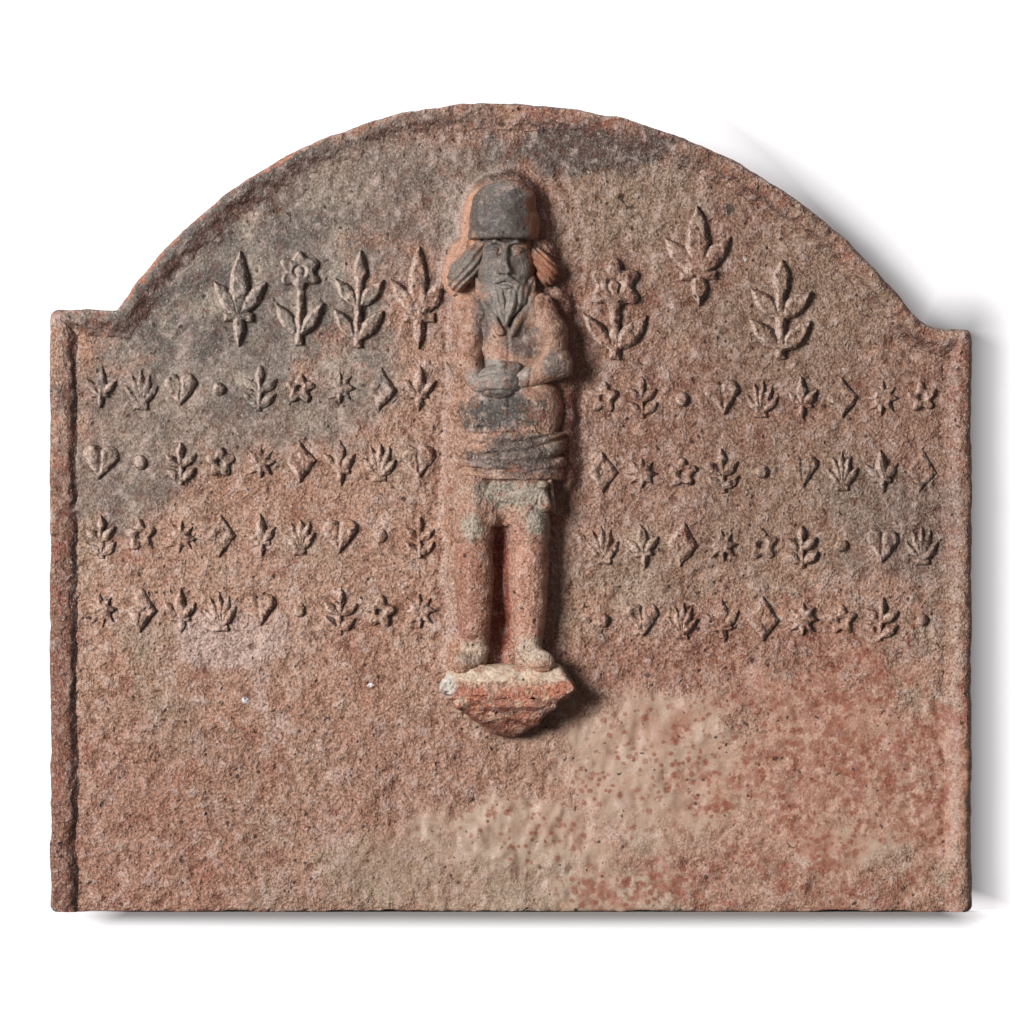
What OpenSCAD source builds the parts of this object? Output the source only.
// Cast-iron fireback: an arched plate with a moulded rim, rows of stamped ornaments and a
// standing figure on a console. The iron was poured in one go into a sand mould, and the mould
// was built up from a board, strips of moulding, small stamps and a carved figure. Each of
// those pattern pieces is a solid of its own here, face to face with what carries it.
// X runs to the viewer's right, the figured face looks towards -Y and Z is up. The origin is
// at the foot, in the middle of the whole width and of the whole depth.

/* [Board] */
// Overall width of the plate
board_w = 710; // [590:1:880]
// Overall height, from the foot to the crown of the arch
board_h = 623; // [515:1:780]
// Thickness of the plate
board_t = 28; // [18:0.5:45]
// Height of the crown above the left shoulder
left_rise = 159; // [125:1:200]
// Height of the crown above the right shoulder
right_rise = 174; // [140:1:215]
// Width of the left shoulder
left_ledge_w = 52; // [40:1:66]
// Width of the flat part of the right shoulder
right_ledge_w = 17; // [10:1:30]
// Radius of the hollow between the right arch and its shoulder
hollow_r = 40; // [20:1:55]
// How far the crown lies to the left of the middle
crown_shift = 10; // [0:1:20]
// Radius of the outer corners
corner_r = 5; // [2:0.5:10]

/* [Rim moulding] */
// Width of the moulding's flat
rim_flat_w = 14; // [8:0.5:18]
// Width of the slope inside the flat
rim_slope_w = 7.5; // [4:0.5:10]
// Height of the moulding above the field
rim_relief = 7; // [4:0.5:12]
// Height of the worn moulding along the right arch
worn_relief = 3.5; // [2:0.5:7]
// Bevel along the moulding's outer edge
rim_bevel = 1.5; // [0.5:0.25:2]

/* [Large stamps] */
// Width of a large ornament on the left
left_large_w = 41; // [30:1:46]
// Width of a large ornament on the right
right_large_w = 50; // [38:1:56]
// Height of a large ornament
large_h = 77; // [60:1:90]
// Height of the large ornaments above the field
large_relief = 7; // [4:0.5:12]
// Least clear space between two large ornaments
large_gap = 4; // [3:0.5:10]
// Drop from the crown to the top of the left ornaments
left_large_drop = 112; // [105:1:125]
// Drop from the crown to the top of the low ornaments on the right
right_large_drop = 121; // [112:1:130]
// How much higher the inner ornaments on the right stand
right_large_lift = 41; // [0:1:45]

/* [Stamp rows] */
// Width of a small ornament
small_w = 25; // [18:0.5:31]
// Height of a small ornament
small_h = 34; // [26:0.5:42]
// Height of the small ornaments above the field
small_relief = 5.5; // [3:0.5:9]
// Least clear space between two small ornaments
small_gap = 3.5; // [2:0.5:8]
// Radius of a pellet
pellet_r = 4.5; // [3:0.25:6]
// Drop from the crown to the middle of the first row on the left
left_row_drop = 220; // [216:1:224]
// Drop from the crown to the middle of the first row on the right
right_row_drop = 227; // [222:1:230]
// Distance from row to row
row_step = 57; // [50:1:60]
// Clear space between a row and the moulding
row_rim_gap = 5; // [3:1:12]
// Clear space between a row and the figure
row_figure_gap = 14; // [8:1:20]

/* [Figure] */
// Drop from the crown to the top of the cap
cap_drop = 62; // [45:1:75]
// Width of the cap
cap_w = 55; // [46:1:62]
// Height of the cap
cap_h = 42; // [34:1:50]
// Width of the head
head_w = 44; // [36:1:50]
// Length of the head below the cap
head_l = 54; // [46:1:62]
// Length of the beard below the chin
beard_l = 15; // [8:1:20]
// Drop from the cap to the top of the shoulders
shoulder_drop = 39; // [34:1:46]
// Width across the shoulders
shoulder_w = 78; // [66:1:88]
// Width across the belly
belly_w = 84; // [72:1:94]
// Length of the jerkin from shoulder to waist
jerkin_l = 111; // [98:1:124]
// Thickness of an upper arm
arm_d = 21; // [16:1:25]
// Height of the clasped hands above the waist
hands_rise = 40; // [32:1:48]
// Width of the clasped hands
hands_w = 40; // [32:1:46]
// Width of the coat's skirt
skirt_w = 86; // [74:1:96]
// Length of the coat's skirt
skirt_l = 35; // [28:1:42]
// Length of the breeches below the hem
breeches_l = 40; // [32:1:48]
// Length of a leg from the breeches to the shoe
leg_l = 88; // [74:1:104]
// Widest thickness of a leg
leg_d = 31; // [25:1:34]
// Distance between the middles of the two legs
leg_spread = 42; // [38:1:50]
// Height of a shoe
shoe_h = 16; // [12:1:20]
// Length of a shoe
shoe_l = 39; // [32:1:46]

/* [Console] */
// Width of the shelf at its points
shelf_w = 108; // [92:1:128]
// Thickness of the shelf
shelf_t = 25; // [18:1:32]
// Depth of the shelf, the highest relief on the plate
shelf_d = 38; // [36:1:50]
// Height of the corbel under the shelf
corbel_h = 29; // [20:1:40]
// Width of the corbel under the shelf
corbel_w = 78; // [60:1:90]

/* [Hidden] */

arc_fn = 180;
ball_fn = 20;
lathe_fn = 48;

rust = [0.55, 0.40, 0.34];
dark_rust = [0.42, 0.28, 0.23];
orange_rust = [0.62, 0.44, 0.34];
graphite = [0.42, 0.40, 0.39];
pale_grey = [0.66, 0.60, 0.54];

// Plate: the back is at back_y and the field, which carries the relief, at front_y
half_w = board_w / 2;
depth = board_t + shelf_d;
back_y = depth / 2;
front_y = back_y - board_t;
crown_x = -crown_shift;
left_z = board_h - left_rise;
right_z = board_h - right_rise;

// Left arch: an arc from the crown down to the inner end of the left shoulder
left_in_x = -half_w + left_ledge_w;
left_run = crown_x - left_in_x;
left_r = (left_run * left_run + left_rise * left_rise) / (2 * left_rise);
left_cz = board_h - left_r;

// Right arch: an arc from the crown that runs smoothly into the hollow above the shoulder
hollow_x = half_w - right_ledge_w;
hollow_z = right_z + hollow_r;
right_run = hollow_x - crown_x;
hollow_rise = right_rise - hollow_r;
right_r = (right_run * right_run + hollow_rise * hollow_rise - hollow_r * hollow_r)
  / (2 * right_rise);
right_cz = board_h - right_r;
tangent_a = atan2(hollow_z - right_cz, right_run);
tangent_x = crown_x + right_r * cos(tangent_a);
tangent_z = right_cz + right_r * sin(tangent_a);

// Rim: its inner edge lies rim_w inside the outline
rim_w = rim_flat_w + rim_slope_w;
left_mitre_z = left_z - rim_w;
left_mitre_x = crown_x - sqrt(pow(left_r - rim_w, 2) - pow(left_mitre_z - left_cz, 2));
left_mitre_a = atan2(-rim_w, left_mitre_x - left_in_x);
left_arch_end = atan2(left_mitre_z - left_cz, left_mitre_x - crown_x) + 2;

// Figure: levels from the cap down to the foot of the corbel
cap_top = board_h - cap_drop;
brow_z = cap_top - cap_h;
chin_z = brow_z - head_l;
shoulder_z = brow_z - shoulder_drop;
waist_z = shoulder_z - jerkin_l;
hem_z = waist_z - skirt_l;
knee_z = hem_z - breeches_l;
ankle_z = knee_z - leg_l;
shelf_z = ankle_z - shoe_h;
corbel_z = shelf_z - shelf_t;
hands_z = waist_z + hands_rise;

// Figure: where the middles of its parts lie across the plate
head_x = -4;
cap_x = -5;
body_x = 1;
hands_x = -9;
legs_x = -7;
shelf_x = -3;
figure_half_w = max(shoulder_w, belly_w, skirt_w) / 2 + 1;

// Figure: how far in front of the field the middles of its forms lie
head_d = 6;
jaw_d = 20;
beard_tip_d = 26;
hair_d = 6;
body_d = 7;
arm_front_d = 13;
elbow_d = 18;
wrist_d = 23;
hands_d = 27;
skirt_d = 31;
leg_axis_d = 9;
bow_d = 24;
toe_d = 23;

// Figure: its arms, measured from the shoulders and the hands, and its locks of hair
armpit_drop = 16;
elbow_rise = 12;
left_elbow_out = 1;
right_elbow_out = 8;
hair_left_drop = 16;
hair_left_l = 16;
hair_left_r = 12;
hair_right_drop = 14;
hair_right_l = 14;
hair_right_r = 9;

// Large stamps: the space between the figure and the moulding at their top
left_large_z = board_h - left_large_drop;
right_large_z = board_h - right_large_drop;
left_room = arch_half(left_large_z, left_r, left_cz) - crown_x - figure_half_w - 2 * large_gap;
right_room = arch_half(right_large_z, right_r, right_cz) + crown_x - figure_half_w
  - 2 * large_gap;

// Half the clear width between the mouldings at a height, measured from the crown's axis
function arch_half(z, r, cz) = sqrt(pow(r - rim_w, 2) - pow(z - cz, 2));

// Height of the moulding's inner edge at a distance from the crown's axis
function arch_height(x, r, cz) = cz + sqrt(pow(r - rim_w, 2) - pow(x, 2));

// How many pieces of a width fit into a room with a gap between them
function count_in(room, w, gap) = floor((room + gap) / (w + gap));

// Outline of a leaf of a length and width, standing on its stalk
function leaf_points(l, w, n = 6) = concat(
  [for (i = [0 : n]) [w / 2 * sin(180 * i / n), l * i / n]],
  [for (i = [n - 1 : -1 : 1]) [-w / 2 * sin(180 * i / n), l * i / n]]);

// ---- helpers -------------------------------------------------------------------------

// A flat shape drawn in X and Z, standing out from the field by a height
module raised(h) {
  translate([0, front_y, 0]) rotate([90, 0, 0]) linear_extrude(h) children();
}

// What lies in front of the field between two levels
module in_front(z0, z1) {
  intersection() {
    children();
    translate([-board_w, front_y - 2 * shelf_d, z0])
      cube([2 * board_w, 2 * shelf_d, z1 - z0]);
  }
}

// Everything to the left of a line through a point, as seen from the front
module beyond(x, z, a) {
  translate([x, front_y, z]) rotate([0, -a, 0])
    translate([-2 * rim_w, -2 * rim_relief, 0]) cube([4 * rim_w, 4 * rim_relief, 4 * rim_w]);
}

// What a rounded outer corner takes away, with the signs of the way into the plate
module corner_chip(x, z, sx, sz) {
  translate([x, z]) scale([sx, sz]) difference() {
    translate([-1, -1]) square(corner_r + 1);
    translate([corner_r, corner_r]) circle(corner_r, $fn = lathe_fn);
  }
}

// A ball of the figure: its place across, its level, its depth and its radius
module ball(x, z, d, r) {
  translate([x, front_y - d, z]) sphere(r, $fn = ball_fn);
}

// ---- board ---------------------------------------------------------------------------

module board_face() {
  difference() {
    union() {
      polygon([[-half_w, 0], [half_w, 0], [half_w, right_z], [hollow_x, right_z],
        [tangent_x, tangent_z], [crown_x, tangent_z], [crown_x, left_z], [-half_w, left_z]]);
      intersection() {
        translate([crown_x, left_cz]) circle(left_r, $fn = arc_fn);
        translate([left_in_x, left_z]) square([left_run, left_rise + 1]);
      }
      intersection() {
        translate([crown_x, right_cz]) circle(right_r, $fn = arc_fn);
        translate([crown_x, tangent_z]) square([tangent_x - crown_x, board_h]);
      }
    }
    translate([hollow_x, hollow_z]) circle(hollow_r, $fn = arc_fn);
    corner_chip(-half_w, 0, 1, 1);
    corner_chip(half_w, 0, -1, 1);
    corner_chip(-half_w, left_z, 1, -1);
    corner_chip(half_w, right_z, -1, -1);
  }
}

module back_plate() {
  color(rust) translate([0, back_y, 0]) rotate([90, 0, 0]) linear_extrude(board_t) board_face();
}

// ---- rim moulding --------------------------------------------------------------------

// Section of the moulding: across from its outer edge, and up from the field
module rim_section(h) {
  polygon([[0, 0], [0, h - rim_bevel], [rim_bevel, h], [rim_flat_w, h], [rim_w, 0]]);
}

// A straight length of moulding that stands on its end, its outer edge at X = 0
module rim_strip(l) {
  linear_extrude(l) mirror([0, 1, 0]) rim_section(rim_relief);
}

// A bent length of moulding from one angle to another, on the inside or outside of an arc
module rim_arc(x, z, r, a0, a1, h, inward = true) {
  translate([x, front_y, z]) rotate([90, 0, 0]) rotate([0, 0, a0])
    rotate_extrude(angle = a1 - a0, $fn = arc_fn)
      translate([r, 0]) mirror([inward ? 1 : 0, 0, 0]) rim_section(h);
}

module left_side_moulding() {
  color(dark_rust) difference() {
    translate([-half_w, front_y, 0]) rim_strip(left_z);
    beyond(-half_w, left_z, -45);
    raised(2 * rim_relief) corner_chip(-half_w, 0, 1, 1);
    raised(2 * rim_relief) corner_chip(-half_w, left_z, 1, -1);
  }
}

module left_shoulder_moulding() {
  color(graphite) difference() {
    translate([-half_w, front_y, left_z]) rotate([0, 90, 0]) rim_strip(left_ledge_w + rim_w);
    beyond(-half_w, left_z, 135);
    beyond(left_in_x, left_z, left_mitre_a);
    raised(2 * rim_relief) corner_chip(-half_w, left_z, 1, -1);
  }
}

module left_arch_moulding() {
  color(graphite) difference() {
    rim_arc(crown_x, left_cz, left_r, 90, left_arch_end, rim_relief);
    beyond(left_in_x, left_z, left_mitre_a + 180);
  }
}

module right_arch_moulding() {
  color(rust) rim_arc(crown_x, right_cz, right_r, tangent_a, 90, worn_relief);
}

module right_hollow_moulding() {
  color(rust) difference() {
    rim_arc(hollow_x, hollow_z, hollow_r, tangent_a + 180, 270, rim_relief, false);
    beyond(half_w, right_z, 225);
  }
}

module right_shoulder_moulding() {
  color(rust) difference() {
    translate([hollow_x, front_y, right_z]) rotate([0, 90, 0]) rim_strip(right_ledge_w);
    beyond(half_w, right_z, 225);
    raised(2 * rim_relief) corner_chip(half_w, right_z, -1, -1);
  }
}

module right_side_moulding() {
  color(rust) difference() {
    translate([half_w, front_y, 0]) mirror([1, 0, 0]) rim_strip(right_z);
    beyond(half_w, right_z, 45);
    raised(2 * rim_relief) corner_chip(half_w, 0, -1, 1);
    raised(2 * rim_relief) corner_chip(half_w, right_z, -1, -1);
  }
}

// ---- ornaments, each drawn about its middle in a box w wide and h high ----------------

// A leaf from one point to another
module leaf(p, q, w) {
  d = q - p;
  translate(p) rotate(-atan2(d[0], d[1])) polygon(leaf_points(norm(d), w));
}

// Fleur-de-lis: an upright leaf, two side leaves, a band and a short foot
module fleur(w, h) {
  leaf([0, -0.24 * h], [0, 0.50 * h], 0.34 * w);
  leaf([0, -0.12 * h], [0, -0.50 * h], 0.26 * w);
  for (s = [-1, 1]) leaf([0, -0.20 * h], [s * 0.48 * w, 0.16 * h], 0.25 * w);
  translate([-0.3 * w, -0.24 * h]) square([0.6 * w, 0.09 * h]);
}

// Flower seen from above, with a number of round petals
module rosette(r, petals) {
  polygon([for (a = [0 : 360 / (6 * petals) : 359.9])
    r * (1 + 0.22 * cos(petals * a)) / 1.22 * [-sin(a), cos(a)]]);
}

// Heart
module heart(w, h) {
  polygon([for (a = [0 : 15 : 345])
    [-w / 2 * pow(sin(a), 3),
      h / 2 * (13 * cos(a) - 5 * cos(2 * a) - 2 * cos(3 * a) - cos(4 * a)) / 17]]);
}

// Open lozenge with a pellet in it
module lozenge(w, h) {
  corners = [[0, 1], [-1, 0], [0, -1], [1, 0]];
  difference() {
    polygon([for (c = corners) [c[0] * w / 2, c[1] * h / 2]]);
    polygon([for (c = corners) [c[0] * w * 0.29, c[1] * h * 0.29]]);
  }
  circle(0.12 * w, $fn = 24);
}

// Sprig: a stalk with two pairs of leaves and one at the tip
module sprig(w, h) {
  translate([-0.05 * w, -0.5 * h]) square([0.1 * w, 0.8 * h]);
  leaf([0, 0.08 * h], [0, 0.5 * h], 0.28 * w);
  for (s = [-1, 1], z = [-0.42, -0.1])
    leaf([0, z * h], [s * 0.48 * w, (z + 0.3) * h], 0.26 * w);
}

// Scallop shell: a fan of five ribs on a short foot
module shell(w, h) {
  translate([-0.22 * w, -0.46 * h]) square([0.44 * w, 0.12 * h]);
  for (a = [-56 : 28 : 56])
    leaf([0, -0.38 * h], [0.5 * w * sin(a) / sin(56), h * (0.8 * cos(a) - 0.38)], 0.25 * w);
}

// Star with eight points
module star(w) {
  polygon([for (i = [0 : 15]) w / 2 * (i % 2 == 0 ? 1 : 0.52) * [-sin(22.5 * i), cos(22.5 * i)]]);
}

// Flower on a stalk with two leaves
module flower(w, h) {
  translate([-0.06 * w, -0.5 * h]) square([0.12 * w, 0.75 * h]);
  translate([0, h / 2 - 0.42 * w]) rosette(0.42 * w, 6);
  for (s = [-1, 1]) leaf([0, -0.42 * h], [s * 0.48 * w, -0.06 * h], 0.28 * w);
}

// The eight small ornaments by number
module small_ornament(kind) {
  if (kind == 0) fleur(small_w, small_h);
  if (kind == 1) rosette(small_w / 2, 5);
  if (kind == 2) heart(small_w, 0.85 * small_h);
  if (kind == 3) lozenge(small_w, small_h);
  if (kind == 4) sprig(small_w, small_h);
  if (kind == 5) shell(small_w, small_h);
  if (kind == 6) star(small_w);
  if (kind == 7) circle(pellet_r, $fn = lathe_fn);
}

// ---- large stamps --------------------------------------------------------------------

module large_ornament(kind, w) {
  if (kind == 0) sprig(w, large_h);
  if (kind == 1) flower(w, large_h);
  if (kind == 2) fleur(w, large_h);
}

module large_stamps_left() {
  n = count_in(left_room, left_large_w, large_gap);
  step = left_room / n;
  color(graphite) raised(large_relief) for (i = [0 : n - 1])
    translate([-figure_half_w - large_gap - (i + 0.5) * step, left_large_z - large_h / 2])
      large_ornament((i + 2) % 3, left_large_w);
}

module large_stamps_right() {
  n = count_in(right_room, right_large_w, large_gap);
  step = right_room / n;
  x0 = figure_half_w + large_gap;
  color(dark_rust) raised(large_relief) for (i = [0 : n - 1]) {
    x = x0 + (i + 0.5) * step;
    reach = x - crown_x + right_large_w / 2;
    free_z = arch_height(reach, right_r, right_cz) - large_gap;
    inner = i > 0 && i < n - 1;
    top_z = inner ? min(right_large_z + right_large_lift, free_z) : right_large_z;
    translate([x, top_z - large_h / 2]) large_ornament((i + 1) % 3, right_large_w);
  }
}

// ---- rows of small stamps ------------------------------------------------------------

// A row from the figure to the moulding on one side; side is -1 for left and 1 for right
module stamp_row(side, row, drop) {
  inner_x = figure_half_w + row_figure_gap;
  room = half_w - rim_w - row_rim_gap - inner_x;
  n = count_in(room, small_w, small_gap);
  step = (room - small_w) / (n - 1);
  raised(small_relief) for (i = [0 : n - 1])
    translate([side * (inner_x + small_w / 2 + i * step), board_h - drop - row * row_step])
      small_ornament((3 * i + 2 * row + (side > 0 ? 1 : 0)) % 8);
}

module stamp_row_left(row) {
  color(rust) stamp_row(-1, row, left_row_drop);
}

module stamp_row_right(row) {
  color(rust) stamp_row(1, row, right_row_drop);
}

// ---- figure --------------------------------------------------------------------------

// Skull cap: a low band with a dome on it
module cap() {
  r = cap_w / 2;
  band_h = 0.24 * cap_h;
  dome_r = r - 1;
  dome_h = cap_h - band_h;
  color(graphite) in_front(brow_z, cap_top + 1)
    translate([cap_x, front_y - head_d, brow_z]) rotate_extrude($fn = lathe_fn)
      polygon(concat([[0, 0], [r, 0], [r, band_h]],
        [for (a = [0 : 10 : 80]) [dome_r * cos(a), band_h + dome_h * sin(a)]],
        [[0, cap_h]]));
}

// The head as it would be if nothing covered it: an egg with its point at the chin
module head_form() {
  r = head_w / 2;
  cheek_h = 0.62 * head_l;
  temple_r = 0.96 * r;
  translate([head_x, front_y - head_d, chin_z]) rotate_extrude($fn = lathe_fn)
    polygon(concat([[0, 0]],
      [for (a = [15 : 15 : 90]) [r * sin(a), cheek_h * (1 - cos(a))]],
      [[temple_r, head_l + 1], [0, head_l + 1]]));
}

module head() {
  color(graphite) difference() {
    in_front(chin_z - 1, brow_z) head_form();
    jerkin_form();
  }
}

// Pointed beard in front of the chin and the collar
module beard() {
  jaw_r = 8;
  jaw_rise = 16;
  tip_r = 3.5;
  color(pale_grey) difference() {
    in_front(chin_z - 2 * beard_l, brow_z) hull() {
      for (s = [-1, 1]) ball(head_x + s * 0.26 * head_w, chin_z + jaw_rise, jaw_d, jaw_r);
      ball(head_x, chin_z - beard_l + tip_r, beard_tip_d, tip_r);
    }
    head_form();
    jerkin_form();
  }
}

// A lock of hair beside the head: how far below the brow, how long and how thick
module hair(s, drop, l, r) {
  x = head_x + s * (head_w / 2 + r / 3);
  color(graphite) difference() {
    in_front(shoulder_z, brow_z) hull() {
      ball(x, brow_z - drop, hair_d, r);
      ball(x + s * r / 2, brow_z - drop - l, hair_d, 0.8 * r);
    }
    head_form();
    jerkin_form();
  }
}

module hair_left() {
  hair(-1, hair_left_drop, hair_left_l, hair_left_r);
}

module hair_right() {
  hair(1, hair_right_drop, hair_right_l, hair_right_r);
}

// The body as it would be without the arms: sloping shoulders and a full belly
module jerkin_form() {
  shoulder_r = 15;
  flank_r = 21;
  flank_rise = 14;
  belly_r = 25;
  belly_rise = 16;
  hull() {
    for (s = [-1, 1]) {
      ball(body_x + s * (shoulder_w / 2 - shoulder_r), shoulder_z - shoulder_r, body_d, shoulder_r);
      ball(body_x + s * (belly_w / 2 - flank_r), waist_z + flank_rise, body_d, flank_r);
    }
    ball(body_x, waist_z + belly_rise, body_d, belly_r);
  }
}

module jerkin() {
  color(rust) in_front(waist_z, shoulder_z + 1) jerkin_form();
}

// An arm bent at the elbow: its side and how far the elbow stands out past the shoulder
module arm_form(s, elbow_out) {
  r = arm_d / 2;
  wrist_r = 0.7 * r;
  shoulder_x = body_x + s * (shoulder_w / 2 - r);
  elbow_x = shoulder_x + s * elbow_out;
  hull() {
    ball(shoulder_x, shoulder_z - armpit_drop, arm_front_d, r);
    ball(elbow_x, hands_z + elbow_rise, elbow_d, r);
  }
  hull() {
    ball(elbow_x, hands_z + elbow_rise, elbow_d, 0.95 * r);
    ball(hands_x + s * 0.42 * hands_w, hands_z, wrist_d, wrist_r);
  }
}

module arm(s, elbow_out) {
  color(orange_rust) difference() {
    in_front(waist_z, shoulder_z) arm_form(s, elbow_out);
    jerkin_form();
  }
}

module arm_left() {
  arm(-1, left_elbow_out);
}

module arm_right() {
  arm(1, right_elbow_out);
}

// The two hands clasped in front of the belly
module hands() {
  fist_r = 9;
  fist_rise = 4;
  color(graphite) difference() {
    in_front(waist_z, shoulder_z) hull() for (s = [-1, 1], z = [-fist_rise, fist_rise])
      ball(hands_x + s * (hands_w / 2 - fist_r), hands_z + z, hands_d, fist_r);
    jerkin_form();
    arm_form(-1, left_elbow_out);
    arm_form(1, right_elbow_out);
  }
}

// Skirt of the coat: a half round with upright folds
module coat_skirt() {
  folds = 22;
  fold_share = 0.045;
  color(graphite) in_front(hem_z, waist_z) translate([body_x, front_y, hem_z])
    linear_extrude(skirt_l) polygon([for (a = [0 : 6 : 180])
      let (k = 1 - fold_share * (1 + cos(folds * a)) / 2)
      [skirt_w / 2 * k * cos(a), -skirt_d * k * sin(a)]]);
}

// Breeches: two full legs that part below the hem
module breeches_form() {
  r = leg_d / 2 + 2;
  for (s = [-1, 1]) hull() {
    ball(legs_x + s * (leg_spread / 2 - 4), hem_z, leg_axis_d, r + 1);
    ball(legs_x + s * leg_spread / 2, knee_z + 6, leg_axis_d, r);
  }
}

module breeches() {
  color(orange_rust) in_front(knee_z, hem_z) breeches_form();
}

// Tied bow that hangs from the hem over one leg of the breeches: a knot and two tails
module bow() {
  knot_r = 4;
  knot_drop = 5;
  tail_r = 4.5;
  tail_drop = 21;
  tail_out = 5;
  x = legs_x + 0.74 * leg_spread;
  color(graphite) difference() {
    in_front(knee_z, hem_z) for (s = [-1, 1]) hull() {
      ball(x, hem_z - knot_drop, bow_d, knot_r);
      ball(x + s * tail_out, hem_z - tail_drop, bow_d - 1, tail_r);
    }
    breeches_form();
  }
}

// A stockinged leg: thin under the breeches, full at the calf and thin at the ankle
module leg(s) {
  r = leg_d / 2;
  shape = [[0.66, 0], [0.72, 0.2], [0.98, 0.5], [1, 0.62], [0.9, 0.84], [0.96, 1]];
  color(orange_rust) in_front(ankle_z, knee_z)
    translate([legs_x + s * leg_spread / 2, front_y - leg_axis_d, ankle_z])
      rotate_extrude($fn = lathe_fn)
        polygon(concat([[0, 0]], [for (p = shape) [p[0] * r, p[1] * leg_l]], [[0, leg_l]]));
}

module leg_left() {
  leg(-1);
}

module leg_right() {
  leg(1);
}

// A blunt shoe that turns a little outwards
module shoe(s) {
  x = legs_x + s * leg_spread / 2;
  heel_r = 16;
  toe_r = 10;
  color(rust) in_front(shelf_z, ankle_z) hull() {
    ball(x, shelf_z + 5, leg_axis_d, heel_r);
    for (out = [0, shoe_l - heel_r - toe_r])
      ball(x + s * out, shelf_z + 3, toe_d, toe_r);
  }
}

module shoe_left() {
  shoe(-1);
}

module shoe_right() {
  shoe(1);
}

// ---- console -------------------------------------------------------------------------

// Shelf with pointed ends, its front edge bevelled along the top and the bottom
module console_shelf() {
  point_w = 14;
  point_z = 0.3 * shelf_t;
  undercut = 4;
  bevel = 6;
  x0 = -shelf_w / 2;
  y0 = front_y - shelf_d;
  color(pale_grey) intersection() {
    raised(shelf_d) translate([shelf_x, corbel_z])
      polygon([[x0 + point_w, shelf_t], [-x0 - point_w, shelf_t], [-x0, point_z],
        [-x0 - undercut, 0], [x0 + undercut, 0], [x0, point_z]]);
    translate([-board_w, 0, corbel_z]) rotate([90, 0, 90]) linear_extrude(2 * board_w)
      polygon([[front_y, 0], [y0 + bevel, 0], [y0, bevel], [y0, shelf_t - bevel],
        [y0 + bevel, shelf_t], [front_y, shelf_t]]);
  }
}

// Corbel that tapers downwards and back to the field
module console_corbel() {
  tip_w = 0.42 * corbel_w;
  tip_d = 0.26 * shelf_d;
  top_d = 0.86 * shelf_d;
  lip_z = 0.75 * corbel_h;
  color(dark_rust) intersection() {
    raised(shelf_d) translate([shelf_x, corbel_z - corbel_h])
      polygon([[-tip_w / 2, 0], [tip_w / 2, 0], [corbel_w / 2, corbel_h],
        [-corbel_w / 2, corbel_h]]);
    translate([-board_w, front_y, corbel_z - corbel_h]) rotate([90, 0, 90])
      linear_extrude(2 * board_w)
        polygon([[0, 0], [-tip_d, 0], [-top_d, lip_z], [-top_d, corbel_h], [0, corbel_h]]);
  }
}

back_plate();
left_side_moulding();
left_shoulder_moulding();
left_arch_moulding();
right_arch_moulding();
right_hollow_moulding();
right_shoulder_moulding();
right_side_moulding();
large_stamps_left();
large_stamps_right();
stamp_row_left(0);  // stamp_row_left_1
stamp_row_left(1);  // stamp_row_left_2
stamp_row_left(2);  // stamp_row_left_3
stamp_row_left(3);  // stamp_row_left_4
stamp_row_right(0);  // stamp_row_right_1
stamp_row_right(1);  // stamp_row_right_2
stamp_row_right(2);  // stamp_row_right_3
stamp_row_right(3);  // stamp_row_right_4
cap();
head();
beard();
hair_left();
hair_right();
jerkin();
arm_left();
arm_right();
hands();
coat_skirt();
breeches();
bow();
leg_left();
leg_right();
shoe_left();
shoe_right();
console_shelf();
console_corbel();
